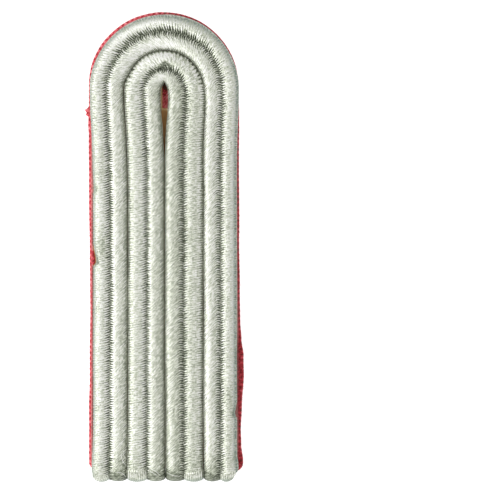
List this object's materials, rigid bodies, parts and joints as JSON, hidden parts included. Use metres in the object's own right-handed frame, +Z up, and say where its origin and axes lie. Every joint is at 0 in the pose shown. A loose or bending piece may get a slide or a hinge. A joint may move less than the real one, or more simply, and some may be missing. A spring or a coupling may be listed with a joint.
{
  "type": "uniform shoulder board",
  "caption": "Round-ended uniform shoulder board: plaited silver cords laid as nested loops round a buttonhole, on a stiffener and a red cloth underlay.",
  "frame": {"origin": "bottom centre of the whole board, on the back of the cloth", "axes": "+Z up from the back to the cords, +Y along the board towards its round end, +X across it"},
  "size_m": [0.0434, 0.13, 0.0055],
  "materials": {
    "outer_cord": "plaited silver-grey thread with a satin shine",
    "inner_cord": "plaited silver-grey thread with a satin shine",
    "stiffener": "matt brown fibre board",
    "underlay": "matt red wool twill"
  },
  "bodies": {
    "root": {"outer_cord": "outer_cord", "inner_cord": "inner_cord", "stiffener": "stiffener", "underlay": "underlay"}
  },
  "joints": []
}
